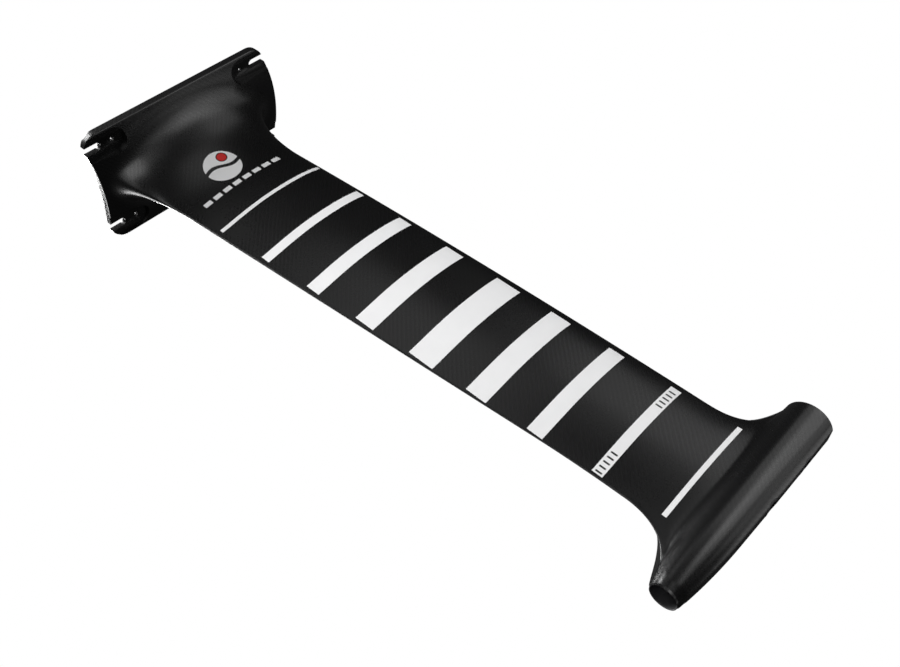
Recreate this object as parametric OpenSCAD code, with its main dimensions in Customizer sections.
// Hydrofoil mast: a moulded carbon blade with a board plate on top and a fuselage socket at its foot.
// +X points forward (leading edge), +Y to port, +Z up. The origin is the middle of the plate's flat board face,
// so everything hangs below z = 0. Depths are given as positive numbers, measured down from that face.

/* [Board plate] */
// Length of the plate, measured at the slot mouths
plate_len = 205.4; // [180:0.2:240]
// Width of the plate
plate_w = 120; // [112:1:140]
// Radius of the plate's corners in plan
plate_corner_r = 15; // [8:1:20]
// How far the front end bulges forward in the middle
front_bow = 7.5; // [0:0.5:12]
// How far the rear end is hollowed forward in the middle
rear_bow = 4.2; // [0:0.2:8]
// Thickness of the plate at its edge
plate_edge_t = 8; // [7:0.5:10]
// Thickness of the flat laminate on the board face
top_skin_t = 1.6; // [1:0.1:2.4]

/* [Board screws] */
// Distance between the two rows of slots
slot_spacing = 90; // [80:1:96]
// Width of a slot, for an M8 screw
slot_w = 8.5; // [6:0.1:10]
// Distance between the inner ends of a front and a rear slot, centre to centre
slot_centres = 180; // [170:1:190]
// Thickness of solid laminate that the screws clamp
clamp_t = 6; // [4:0.5:6.5]
// Radius of the recess round each slot
recess_r = 12.5; // [10:0.5:13]
// Distance between the middles of the recesses' inner ends
recess_centres = 148; // [140:1:156]
// Wall of the cup that lines a recess
cup_wall = 1.5; // [1:0.1:2]
// Diameter of the small hole in each recess
pin_d = 4.5; // [3:0.1:6]

/* [Blade] */
// Depth at which the plate's flare has died out into the blade
root_depth = 103; // [80:1:130]
// Depth at which the foot's flare starts
tip_depth = 555; // [440:1:700]
// Distance of the trailing edge behind the origin at the root
root_te = 66.8; // [60:0.2:72]
// Distance of the leading edge ahead of the origin at the root
root_le = 59.3; // [54:0.2:64]
// Distance of the trailing edge behind the origin at the tip
tip_te = 39.2; // [30:0.2:60]
// Distance of the leading edge ahead of the origin at the tip
tip_le = 70.6; // [62:0.2:78]
// Greatest thickness of the blade at the root
root_t = 18.4; // [14:0.2:22]
// Greatest thickness of the blade at the tip
tip_t = 15.4; // [12:0.2:19]
// Place of the greatest thickness, as a share of the chord from the leading edge
thick_at = 0.42; // [0.35:0.01:0.5]
// Thickness of the trailing edge
te_t = 1.8; // [1.2:0.1:2.4]
// Wall of the moulded half shells
skin_t = 1.6; // [1:0.1:2]
// Thickness of the bond line between the two half shells
seam_t = 0.7; // [0.4:0.1:1]

/* [Spar] */
// Place of the front web, as a share of the chord from the leading edge
web_front_at = 0.26; // [0.2:0.01:0.34]
// Place of the rear web, as a share of the chord from the leading edge
web_rear_at = 0.6; // [0.5:0.01:0.66]
// Thickness of a spar web
web_t = 2; // [1:0.1:3]
// Thickness of a spar cap
cap_t = 2; // [1:0.1:3]
// Depth of the spar root block's upper end
block_top = 14; // [12:1:30]

/* [Foot and fuselage socket] */
// Depth of the socket's axis below the board face
socket_depth = 620; // [500:1:770]
// Distance of the socket's front rim ahead of the origin
socket_front = 108; // [100:1:120]
// Distance of the socket's rear rim behind the origin
socket_rear = 84; // [76:1:96]
// Outer radius of the tube at its front rim
tube_r = 19.4; // [18.6:0.1:22]
// Outer radius of the tube at its rear rim
tail_r = 11.7; // [11.2:0.1:13]
// How far the tube has narrowed where its tail starts to curve in
tube_taper = 1.8; // [0.5:0.1:2.4]
// Length of the curved tail
tail_len = 69; // [50:1:75]
// Radius of the front land that seats the fuselage
front_land_r = 14.5; // [12:0.1:15]
// Length of the front land
front_land_len = 24; // [12:1:30]
// Radius of the rear land that seats the fuselage's end
rear_land_r = 10.2; // [8:0.1:10.6]
// Length of the rear land
rear_land_len = 22; // [12:1:30]
// Wall of the socket sleeve
sleeve_t = 1.2; // [0.8:0.1:1.4]
// Wall of the sleeve at the rear land
sleeve_tail_t = 0.8; // [0.6:0.1:1]
// Wall of the foot shells outside the sleeve
foot_wall = 1.8; // [1:0.1:2]
// Distance of the flat under the tube from the socket's axis
flat_drop = 18; // [17:0.1:19]
// Radius of the fillet between the blade's flank and the tube
side_fillet = 12; // [8:1:16]

/* [Fuselage screws] */
// Distance of the middle of the two screws ahead of the origin
screw_mid_x = 48; // [44:1:52]
// Distance between the two screws
screw_spacing = 48; // [40:1:56]
// Diameter of the screw hole, for an M6 screw
screw_hole_d = 6.6; // [5.5:0.1:7]
// Diameter of the countersink for the screw's head
screw_head_d = 12.2; // [11:0.1:12.6]
// Diameter of the metal seat that each screw pulls on
seat_d = 16; // [14:0.5:18]

/* [Graphics] */
// Thickness of the printed film
film_t = 0.1; // [0.06:0.02:0.2]
// Depth of the middle of the first bar
bar_first = 133; // [120:1:140]
// Step from the first bar to the second
bar_step = 55.7; // [50:0.1:57]
// How much each step grows on the way to the widest bar
bar_step_growth = 1.55; // [0:0.05:2]
// Step between bars below the widest one
bar_step_lower = 55.3; // [50:0.1:56]
// Height of the widest bar, the middle one
bar_widest = 25.5; // [20:0.5:30]
// Height of the end bars
bar_narrowest = 4; // [3:0.5:6]
// Front end of the first bar, ahead of the origin
bar_front_first = 56.9; // [50:0.1:58]
// Front end of the last bar, ahead of the origin
bar_front_last = 64; // [56:0.1:66]
// Rear end of the first bar, behind the origin
bar_rear_first = 59.7; // [50:0.1:62]
// Rear end of the last bar, behind the origin
bar_rear_last = 34.2; // [28:0.1:36]
// Place of the emblem ahead of the origin
emblem_x = -8; // [-16:1:0]
// Depth of the middle of the emblem
emblem_depth = 73; // [70:1:76]
// Radius of the emblem's white disc
emblem_r = 18; // [12:0.5:20]
// Radius of the emblem's red dot
emblem_dot_r = 4.5; // [3:0.5:5]
// Depth of the middle of the row of dashes under the emblem
dash_depth = 98; // [97:0.5:99]
// Height of a dash
dash_h = 5; // [3:0.5:6]
// Number of dashes
dash_count = 8; // [4:1:10]

/* [Hidden] */
half_len = plate_len / 2;
half_w = plate_w / 2;
slot_r = slot_w / 2;
slot_x = slot_centres / 2;
recess_x = recess_centres / 2;
row_y = slot_spacing / 2;
cup_r = recess_r + cup_wall;
bar_count = 9;
bar_mid = (bar_count - 1) / 2;
dash_front = 40;        // ends of the row of dashes, ahead of the origin
dash_rear = -52;
dash_fill = 0.72;       // share of its pitch that a dash fills
wave_h = 4;             // thickness of the wave that crosses the emblem
wave_rise = 3;          // height of the wave's crests
tick_w = 1.4;           // size and pitch of the ruler ticks on the last bar but one
tick_h = 5.6;
tick_pitch = 4.6;
tick_bar = 7;
tick_groups = [-36, 38];
tick_count = 5;
cut = 1;                // how far a cutter runs past the face it opens
touch = 0.02;           // gap left where two moulded pieces lie face to face
flare_power = 0.56;     // shape of the plate's flare, from a corner (0) to a straight chamfer (1)
// How late the flare's oval squares up to the plate's corners
corner_power = 4;
foot_power = 2.3;       // shape of the foot's flare in side view
tail_power = 2.1;       // shape of the tube's tail
flare_t = 2;            // wall of the plate's lower shells
block_gap = 0.004;      // chord share left free on each side of the spar root block
skin_across = 22;       // facets along the chord on the blade's skin, which the film follows
cone_front_x = socket_front - front_land_len;
cone_rear_x = -socket_rear + rear_land_len;
tail_start_x = tail_len - socket_rear;
crown_front = socket_depth - tube_r;
crown_rear = socket_depth - tail_r;

// Steps of a list from 0 to 1
function steps(n) = [for (i = [0 : n]) i / n];
// A value between a and b
function mix(a, b, k) = a + (b - a) * k;
// How far down the blade a depth is, from 0 at the root to 1 at the tip
function down(d) = min(max((d - root_depth) / (tip_depth - root_depth), -0.2), 1.1);
// The blade's edges and half thickness at a depth
function le_x(d) = mix(root_le, tip_le, 1 - pow(1 - min(down(d), 1), 2));
function te_x(d) = -mix(root_te, tip_te, min(down(d), 1));
function chord(d) = le_x(d) - te_x(d);
function half_t(d) = mix(root_t, tip_t, min(down(d), 1)) / 2;
// Share of the greatest thickness at a share s of the chord: half an ellipse in front, a falling curve behind
function front_share(k) = sqrt(max(1 - pow(1 - k, 2), 0));
function rear_share(k) = 1 - k * k * (1 + 0.9 * k * (1 - k));
function share(s) = s < thick_at ? front_share(s / thick_at) : rear_share((s - thick_at) / (1 - thick_at));
function flank(s, h) = (h - te_t / 2) * share(s) + te_t / 2 * front_share(min(s / thick_at, 1));
// Half thickness left inside an inset, never less than half the bond line
function inside(s, d, inset) = max(flank(s, half_t(d)) - inset, seam_t / 2);
// Chord shares at which the half shells start, and between which they are hollow
nose_at = 0.001;
lead_at = 0.02;
trail_at = 0.92;
function chord_x(s, d) = le_x(d) - s * chord(d);
// Chord shares from a to b, closer together near the leading edge
function shares(a, b, n) = [for (k = steps(n)) let (k0 = acos(1 - 2 * a) / 180, k1 = acos(1 - 2 * b) / 180)
    (1 - cos(180 * mix(k0, k1, k))) / 2];

// Faces of a loft whose rings have n points each, with the rings listed from the top down
function loft_faces(rings, n, order) = concat(
    [[for (i = [0 : n - 1]) order ? n - 1 - i : i]],
    [[for (i = [0 : n - 1]) (rings - 1) * n + (order ? i : n - 1 - i)]],
    [for (r = [0 : rings - 2], i = [0 : n - 1]) let (j = (i + 1) % n, a = r * n, b = a + n)
        order ? [a + i, a + j, b + j] : [a + j, a + i, b + i]],
    [for (r = [0 : rings - 2], i = [0 : n - 1]) let (j = (i + 1) % n, a = r * n, b = a + n)
        order ? [a + i, b + j, b + i] : [a + j, b + i, b + j]]);

// A closed skin over a list of rings
module loft(rings, order = true) {
    n = len(rings[0]);
    polyhedron(points = [for (r = rings, p = r) p], faces = loft_faces(len(rings), n, order), convexity = 10);
}

// Depths of the blade's rings
function blade_depths(top, bottom, n) = [for (k = steps(n)) mix(top, bottom, k)];

// A piece between two chord shares that fills the blade from flank to flank inside an inset
module blade_fill(a, b, inset, top, bottom, across = 8, levels = 8) {
    loft([for (d = blade_depths(top, bottom, levels)) concat(
        [for (s = shares(a, b, across)) [chord_x(s, d), inside(s, d, inset), -d]],
        [for (s = shares(b, a, across)) [chord_x(s, d), -inside(s, d, inset), -d]])]);
}

// A layer between two insets on one side of the blade
module blade_layer(side, a, b, outer, inner, top, bottom, across = 8, levels = 8) {
    loft([for (d = blade_depths(top, bottom, levels)) concat(
        [for (s = shares(a, b, across)) [chord_x(s, d), side * (flank(s, half_t(d)) - outer), -d]],
        [for (s = shares(b, a, across)) [chord_x(s, d), side * inside(s, d, inner), -d]])], side > 0);
}

// One moulded half of the blade: it lies on the bond line at both edges and is hollow between them
module half_blade(side, across, levels) {
    loft([for (d = blade_depths(root_depth, tip_depth, levels)) concat(
        [for (s = shares(nose_at, 1, across)) [chord_x(s, d), side * flank(s, half_t(d)), -d]],
        [[chord_x(1, d), side * seam_t / 2, -d]],
        [for (s = shares(trail_at, lead_at, across)) [chord_x(s, d), side * inside(s, d, skin_t), -d]],
        [[chord_x(nose_at, d), side * seam_t / 2, -d]])], side > 0);
}

// ---- Plate outline ----
// Half of a rounded rectangle, from the front middle round the port side to the rear middle
function corner_arc(cx, a0, n, r) = [for (k = steps(n))
    [cx + r * cos(a0 + 90 * k), half_w - plate_corner_r + r * sin(a0 + 90 * k)]];
function half_outline(inset) = let (r = plate_corner_r - inset, cx = half_len - plate_corner_r) concat(
    [for (k = [0 : 2]) [half_len - inset, (half_w - plate_corner_r) * k / 3]],
    corner_arc(cx, 0, 4, r),
    [for (k = [1 : 7]) [mix(cx, -cx, k / 8), half_w - inset]],
    corner_arc(-cx, 90, 4, r),
    [for (k = [2 : -1 : 0]) [-half_len + inset, (half_w - plate_corner_r) * k / 3]]);
// The ends are bowed: the front forward, the rear hollowed
function bow(p) = [p[0] + (p[0] > 0 ? front_bow : rear_bow) * max(1 - pow(p[1] / row_y, 2), 0)
    * pow(abs(p[0]) / half_len, 4), p[1]];
function bowed(inset) = [for (p = half_outline(inset)) bow(p)];

// The whole plate in plan
module plate_plan(inset = 0) {
    half = bowed(inset);
    polygon(concat(half, [for (i = [len(half) - 2 : -1 : 1]) [half[i][0], -half[i][1]]]));
}

// A long round-ended cutter that runs out through the end of the plate
module end_slot(r, x, sx, sy, z0, z1) {
    translate([sx * x, sy * row_y, z0]) cylinder(r = r, h = z1 - z0, $fn = 48);
    translate([sx > 0 ? x : -x - plate_len, sy * row_y - r, z0]) cube([plate_len, 2 * r, z1 - z0]);
}

module pin_hole(sx, sy, z0, z1) {
    translate([sx * recess_x, sy * row_y, z0]) cylinder(d = pin_d, h = z1 - z0, $fn = 32);
}

module at_slots() {
    for (sx = [-1, 1], sy = [-1, 1]) {
        $sx = sx;
        $sy = sy;
        children();
    }
}

// ---- Plate pieces ----
// The plate's flare: depth for a share w of the way from the blade's flank (0) to the plate's edge (1)
function flare_depth(w) = plate_edge_t + (root_depth - plate_edge_t)
    * pow(1 - pow(w, flare_power), 1 / flare_power);
// Share of the chord that belongs to an outline point, by its direction from the middle
function share_at(p) = (1 - cos(atan2(p[1] / half_w, p[0] / half_len))) / 2;
function flare_y(s, d, inset) = max(flank(s, half_t(d)) - inset, seam_t / 2);
// The plan point that a line of the flare heads for: on an oval that squares up towards the plate's edge
function oval(s, inset) = bow([(half_len - inset) * (1 - 2 * s), (half_w - inset) * sqrt(1 - pow(1 - 2 * s, 2))]);
function flare_goal(p, s, w, inset) = let (o = oval(s, inset), k = pow(w, corner_power))
    [mix(o[0], p[0], k), mix(o[1], p[1], k)];
function flare_point(p, w, inset, d) = let (s = share_at(p), end = inset * cos(180 * s),
    goal = flare_goal(p, s, w, max(inset, 0)))
    [mix(chord_x(s, d) - end, goal[0], w), p[1] == 0 ? 0 : mix(flare_y(s, d, inset), goal[1], w), -d];
// Shares of the flare's rings, closer together near the blade
flare_shares = [for (k = steps(9)) pow(k, 2.4)];
// One ring of the flare on the port side, lifted by an inset where the surface lies flat
function flare_ring(w, inset, outline) = let (d = flare_depth(w)) [for (p = outline)
    let (q = flare_point(p, w, inset, d)) [q[0], q[1], q[2] + max(inset, 0) * sqrt(w)]];
// Half rings get their middle points moved past the middle plane, whole rings are mirrored
function half_ring(ring, side, past) = [for (q = ring) [q[0], side * (q[1] == 0 ? -past : q[1]), q[2]]];
function whole_ring(ring) = concat(ring,
    [for (i = [len(ring) - 2 : -1 : 1]) [ring[i][0], -ring[i][1], ring[i][2]]]);
function at_depth(ring, d) = [for (q = ring) [q[0], q[1], -d]];
// Rings of the flare from the level of its top down to the blade, with its lower end run on past the root
function flare_rings(inset, top, past) = let (outline = bowed(max(inset, 0)),
    body = [for (i = [len(flare_shares) - 1 : -1 : 0]) flare_ring(flare_shares[i], inset, outline)])
    concat([at_depth(body[0], top)], body,
        past > 0 ? [at_depth(body[len(body) - 1], root_depth + past)] : []);

// Half of the solid inside the flare
module flare_half(side, inset, top, past) {
    loft([for (r = flare_rings(inset, top, past)) half_ring(r, side, past)], side > 0);
}

module plate_lower_shell(side) {
    resize([0, 0, 0]) difference() {
        flare_half(side, 0, clamp_t, 0);
        flare_half(side, flare_t, clamp_t - cut, cut);
        for (sx = [-1, 1]) end_slot(cup_r, recess_x, sx, side, -plate_len, cut);
    }
}
module plate_lower_shell_port() { color("#1a1b1d") plate_lower_shell(1); }
module plate_lower_shell_starboard() { color("#1a1b1d") plate_lower_shell(-1); }

module plate_top_skin() {
    color("#202124") difference() {
        translate([0, 0, -top_skin_t]) linear_extrude(height = top_skin_t) plate_plan();
        at_slots() {
            end_slot(slot_r, slot_x, $sx, $sy, -top_skin_t - cut, cut);
            pin_hole($sx, $sy, -top_skin_t - cut, cut);
        }
    }
}

// Solid laminate between the board face and the lower shells, with a window for each slot cup
module plate_deck() {
    color("#232427") difference() {
        translate([0, 0, -clamp_t]) linear_extrude(height = clamp_t - top_skin_t) plate_plan();
        at_slots() end_slot(cup_r, recess_x, $sx, $sy, -clamp_t - cut, cut);
    }
}

// Cup of solid laminate round one slot: its floor is clamped by the screw, its wall lines the recess
module slot_cup(sx, sy) {
    color("#17181a") difference() {
        intersection() {
            end_slot(cup_r, recess_x, sx, sy, -plate_edge_t, -top_skin_t);
            translate([0, 0, -plate_edge_t]) linear_extrude(height = plate_edge_t) plate_plan();
        }
        end_slot(recess_r, recess_x, sx, sy, -plate_edge_t - cut, -clamp_t);
        end_slot(slot_r, slot_x, sx, sy, -plate_edge_t - cut, cut);
        pin_hole(sx, sy, -plate_edge_t - cut, cut);
    }
}
module slot_cup_front_port() { slot_cup(1, 1); }
module slot_cup_front_starboard() { slot_cup(1, -1); }
module slot_cup_rear_port() { slot_cup(-1, 1); }
module slot_cup_rear_starboard() { slot_cup(-1, -1); }

// Solid block that spreads the spar's load into the plate, inside the flare
module spar_root_block() {
    color("#2b2c2f") blade_fill(web_front_at, web_rear_at, flare_t + touch, block_top, root_depth - touch, 6, 3);
}

// Foam in the flare in front of the root block and behind it
module plate_core() {
    color("#b9b39a") resize([0, 0, 0]) difference() {
        loft([for (r = flare_rings(flare_t + touch, clamp_t + touch, 0)) whole_ring(r)]);
        blade_fill(web_front_at - block_gap, web_rear_at + block_gap, flare_t, 0, root_depth + cut, 6, 3);
        at_slots() end_slot(cup_r + touch, recess_x, $sx, $sy, -plate_len, cut);
    }
}

// ---- Blade pieces ----
module blade_skin(side) {
    color("#161719") half_blade(side, skin_across, 8);
}
module blade_skin_port() { blade_skin(1); }
module blade_skin_starboard() { blade_skin(-1); }

module spar_cap(side) {
    color("#2b2c2f") blade_layer(side, web_front_at, web_rear_at, skin_t + touch, skin_t + cap_t,
        root_depth, tip_depth);
}
module spar_cap_port() { spar_cap(1); }
module spar_cap_starboard() { spar_cap(-1); }

// Chord share that a web takes up
web_share = web_t / chord(tip_depth);
module spar_web(at) {
    color("#303135") blade_fill(at, at + web_share, skin_t + cap_t + touch, root_depth, tip_depth, 1);
}
module spar_web_front() { spar_web(web_front_at); }
module spar_web_rear() { spar_web(web_rear_at - web_share); }

module spar_foam() {
    color("#c9c3ab") blade_fill(web_front_at + web_share, web_rear_at - web_share,
        skin_t + cap_t + touch, root_depth, tip_depth);
}
module leading_foam() {
    color("#c9c3ab") blade_fill(lead_at, web_front_at, skin_t + touch, root_depth, tip_depth);
}
module trailing_foam() {
    color("#c9c3ab") blade_fill(web_rear_at, trail_at, skin_t + touch, root_depth, tip_depth);
}

// Bond line between the half shells along one edge of the blade
module seam(a, b) {
    color("#4a4b4e") loft([for (d = blade_depths(root_depth, tip_depth, 8)) [
        [chord_x(a, d), seam_t / 2 - touch, -d], [chord_x(b, d), seam_t / 2 - touch, -d],
        [chord_x(b, d), touch - seam_t / 2, -d], [chord_x(a, d), touch - seam_t / 2, -d]]]);
}
module leading_edge_seam() { seam(0, lead_at - 0.002); }
module trailing_edge_seam() { seam(trail_at + 0.002, 1); }

// ---- Foot pieces ----
// Outer radius of the tube at x: a slight taper, then a tail that curves in
function tail_drop(x) = pow(max(tail_start_x - x, 0) / tail_len, tail_power);
function tube_end_r() = tube_r - tube_taper * (socket_front + socket_rear) / (socket_front - tail_start_x);
function tube_radius(x) = tube_r - tube_taper * (socket_front - x) / (socket_front - tail_start_x)
    - (tube_end_r() - tail_r) * tail_drop(x);
// Radius of the socket inside the sleeve
function socket_r(x) = mix(rear_land_r, front_land_r,
    min(max((x - cone_rear_x) / (cone_front_x - cone_rear_x), 0), 1));

// Turn a profile of [x, radius] points about the socket's axis
module about_socket(profile, facets) {
    translate([0, 0, -socket_depth]) rotate([0, 90, 0]) rotate_extrude($fn = facets)
        polygon([for (p = profile) [p[1], p[0]]]);
}

tube_stations = concat([for (k = steps(9)) mix(-socket_rear, tail_start_x, k)], [socket_front]);
module tube_solid() {
    about_socket(concat([[-socket_rear, 0]], [for (x = tube_stations) [x, tube_radius(x)]],
        [[socket_front, 0]]), 48);
}

// Outside of the socket sleeve, grown by a gap
module sleeve_solid(gap, over) {
    about_socket([[-socket_rear - over, 0], [-socket_rear - over, rear_land_r + sleeve_tail_t + gap],
        [cone_rear_x, rear_land_r + sleeve_tail_t + gap], [cone_front_x, front_land_r + sleeve_t + gap],
        [socket_front + over, front_land_r + sleeve_t + gap], [socket_front + over, 0]], 48);
}

// Inside of the socket
module socket_space(over) {
    about_socket([[-socket_rear - over, 0], [-socket_rear - over, rear_land_r], [cone_rear_x, rear_land_r],
        [cone_front_x, front_land_r], [socket_front + over, front_land_r], [socket_front + over, 0]], 64);
}

module below_flat() {
    translate([-plate_len, -plate_w / 2, -socket_depth - flat_drop - plate_w])
        cube([2 * plate_len, plate_w, plate_w]);
}

screw_xs = [screw_mid_x - screw_spacing / 2, screw_mid_x + screw_spacing / 2];
module seat_bore(x, r) {
    translate([x, 0, -socket_depth - tube_r - cut]) cylinder(r = r, h = tube_r, $fn = 48);
}

// The foot's flare: the blade's outline grows fore and aft into the tube's crown, and its flanks fillet out
function flare_side(d) = let (h = half_t(tip_depth), c = sqrt(pow(tube_r + side_fillet, 2)
    - pow(h + side_fillet, 2)), t = max(d - (socket_depth - c), 0))
    h + side_fillet - sqrt(max(pow(side_fillet, 2) - pow(min(t, side_fillet), 2), 0));
function flare_end(d, crown) = 1 - pow(1 - pow(min((d - tip_depth) / (crown - tip_depth), 1), foot_power),
    1 / foot_power);
foot_end = crown_front + 5;
foot_depths = [for (k = steps(9)) mix(tip_depth, foot_end, 1 - pow(1 - k, 1.6))];
// How far the foot's filler runs on to reach the sleeve
core_run = max(socket_depth - front_land_r - sleeve_t + 2 - foot_end, cut / 2);
function foot_fore(d) = mix(tip_le, socket_front, flare_end(d, crown_front));
function foot_aft(d) = -mix(tip_te, socket_rear, flare_end(d, crown_rear));
function foot_ring(d, inset) = let (fore = foot_fore(d) - inset, aft = foot_aft(d) + inset,
    h = flare_side(d)) concat([[fore, 0, -d]],
    [for (s = shares(nose_at, 1, skin_across)) [mix(fore, aft, s), max(flank(s, h) - inset, seam_t / 2), -d]],
    [[aft, 0, -d]]);
// Rings of the foot's flare from the blade down into the tube, run on by the given lengths
function foot_rings(inset, above, below) = let (body = [for (d = foot_depths) foot_ring(d, inset)])
    concat(above > 0 ? [at_depth(body[0], tip_depth - above)] : [], body,
        below > 0 ? [at_depth(body[len(body) - 1], foot_depths[len(body) - 1] + below)] : []);
module foot_half(side, inset, above, below, past) {
    loft([for (r = foot_rings(inset, above, below)) half_ring(r, side, past)], side > 0);
}

module half_space(side) {
    translate([-plate_len, side > 0 ? 0 : -plate_w, -2 * socket_depth])
        cube([2 * plate_len, plate_w, 2 * socket_depth]);
}

module foot_shell(side) {
    color("#1b1c1e") resize([0, 0, 0]) difference() {
        intersection() {
            union() {
                foot_half(side, 0, 0, 4, 0);
                tube_solid();
            }
            half_space(side);
        }
        below_flat();
        sleeve_solid(touch, cut);
        foot_half(side, foot_wall, cut, core_run, cut);
        for (x = screw_xs) seat_bore(x, seat_d / 2 + touch);
    }
}
module foot_shell_port() { foot_shell(1); }
module foot_shell_starboard() { foot_shell(-1); }

// Filler in the flare, between the half shells and above the sleeve
module foot_core() {
    color("#b9b39a") resize([0, 0, 0]) difference() {
        loft([for (r = foot_rings(foot_wall + touch, 0, core_run - touch)) whole_ring(r)]);
        sleeve_solid(touch, cut);
    }
}

// Tube that seats the fuselage: two parallel lands joined by a taper
module socket_sleeve() {
    color("#0e0f10") difference() {
        sleeve_solid(0, 0);
        socket_space(cut);
        for (x = screw_xs) seat_bore(x, seat_d / 2);
    }
}

// Metal seat for one countersunk fuselage screw
module screw_seat(x) {
    color("#6d7076") difference() {
        intersection() {
            translate([x, 0, -socket_depth - flat_drop]) cylinder(d = seat_d, h = flat_drop / 2, $fn = 48);
            tube_solid();
        }
        socket_space(cut);
        seat_bore(x, screw_hole_d / 2);
        translate([x, 0, -socket_depth - flat_drop - touch])
            cylinder(d1 = screw_head_d, d2 = screw_hole_d, h = (screw_head_d - screw_hole_d) / 2, $fn = 48);
    }
}
module screw_seat_rear() { screw_seat(screw_xs[0]); }
module screw_seat_front() { screw_seat(screw_xs[1]); }

// ---- Printed film ----
// A ring round the section at depth d, the blade's or the foot's below it, grown by the film under and on it
function section_ring(d, grow) = d > tip_depth ? foot_ring(d, -grow) : concat([[le_x(d) + grow, 0, -d]],
    [for (s = shares(nose_at, 1, skin_across)) [chord_x(s, d), flank(s, half_t(d)) + grow, -d]],
    [[te_x(d) - grow, 0, -d]]);
film_depths = concat(blade_depths(root_depth, tip_depth, 8), [for (d = foot_depths) if (d > tip_depth) d]);
module grown_half(side, grow) {
    loft([for (d = film_depths) half_ring(section_ring(d, grow), side, 0)], side > 0);
}

// Cut the film out of a layer with the children, which are drawn as x against depth
module stencil(side) {
    rotate([-90, 0, 0]) translate([0, 0, side > 0 ? 1 : -half_w]) linear_extrude(height = half_w - 1) children();
}
// Film on the blade and the foot, on top of some film already there
module film_on_blade(side, under) {
    resize([0, 0, 0]) intersection() {
        difference() {
            grown_half(side, under + film_t);
            grown_half(side, under);
        }
        stencil(side) children();
    }
}
// Film over the plate's flare
module film_on_flare(side) {
    resize([0, 0, 0]) intersection() {
        difference() {
            flare_half(side, -film_t, clamp_t, 0);
            flare_half(side, 0, clamp_t - cut, cut);
        }
        stencil(side) children();
    }
}

// Bars: the middle one is the widest, and they narrow to both ends of the blade
function bar_h(i) = mix(bar_widest, bar_narrowest, abs(i - bar_mid) / bar_mid);
function bar_upper(i) = bar_first + bar_step * i + bar_step_growth * i * (i - 1) / 2;
function bar_depth(i) = i <= bar_mid ? bar_upper(i) : bar_upper(bar_mid) + bar_step_lower * (i - bar_mid);
function bar_fore(i) = mix(bar_front_first, bar_front_last, i / (bar_count - 1));
function bar_aft(i) = -mix(bar_rear_first, bar_rear_last, i / (bar_count - 1));
module bars(side) {
    color("#ececec") film_on_blade(side, 0) for (i = [0 : bar_count - 1])
        translate([bar_aft(i), bar_depth(i) - bar_h(i) / 2]) square([bar_fore(i) - bar_aft(i), bar_h(i)]);
}
module bars_port() { bars(1); }
module bars_starboard() { bars(-1); }

// Plain ruler ticks on one bar
module ruler_ticks(side) {
    color("#1a1a1a") film_on_blade(side, film_t) for (x = tick_groups, i = [0 : tick_count - 1])
        translate([x + i * tick_pitch, bar_depth(tick_bar) - tick_h / 2]) square([tick_w, tick_h]);
}
module ruler_ticks_port() { ruler_ticks(1); }
module ruler_ticks_starboard() { ruler_ticks(-1); }

// A band with a wavy middle line, wide enough to cross the emblem
module wave_band() {
    xs = [for (k = steps(12)) mix(-emblem_r - 2, emblem_r + 2, k)];
    polygon(concat([for (x = xs) [x, wave_rise * sin(x * 9) - wave_h / 2]],
        [for (i = [len(xs) - 1 : -1 : 0]) [xs[i], wave_rise * sin(xs[i] * 9) + wave_h / 2]]));
}
module emblem_disc(side) {
    color("#ececec") film_on_flare(side) translate([emblem_x, emblem_depth]) difference() {
        circle(r = emblem_r, $fn = 40);
        wave_band();
        translate([emblem_r / 3, -emblem_r / 2]) circle(r = emblem_dot_r + 1, $fn = 24);
    }
}
module emblem_disc_port() { emblem_disc(1); }
module emblem_disc_starboard() { emblem_disc(-1); }
module emblem_dot(side) {
    color("#c8231a") film_on_flare(side)
        translate([emblem_x + emblem_r / 3, emblem_depth - emblem_r / 2]) circle(r = emblem_dot_r, $fn = 24);
}
module emblem_dot_port() { emblem_dot(1); }
module emblem_dot_starboard() { emblem_dot(-1); }

// A row of plain dashes under the emblem
module dashes(side) {
    pitch = (dash_front - dash_rear) / dash_count;
    color("#ececec") film_on_flare(side) for (i = [0 : dash_count - 1])
        translate([dash_rear + i * pitch, dash_depth - dash_h / 2]) square([pitch * dash_fill, dash_h]);
}
module dashes_port() { dashes(1); }
module dashes_starboard() { dashes(-1); }

plate_top_skin();
plate_deck();
plate_lower_shell_port();
plate_lower_shell_starboard();
plate_core();
slot_cup_front_port();
slot_cup_front_starboard();
slot_cup_rear_port();
slot_cup_rear_starboard();
spar_root_block();
spar_cap_port();
spar_cap_starboard();
spar_web_front();
spar_web_rear();
spar_foam();
leading_foam();
trailing_foam();
leading_edge_seam();
trailing_edge_seam();
blade_skin_port();
blade_skin_starboard();
foot_shell_port();
foot_shell_starboard();
foot_core();
socket_sleeve();
screw_seat_front();
screw_seat_rear();
bars_port();
bars_starboard();
ruler_ticks_port();
ruler_ticks_starboard();
emblem_disc_port();
emblem_disc_starboard();
emblem_dot_port();
emblem_dot_starboard();
dashes_port();
dashes_starboard();
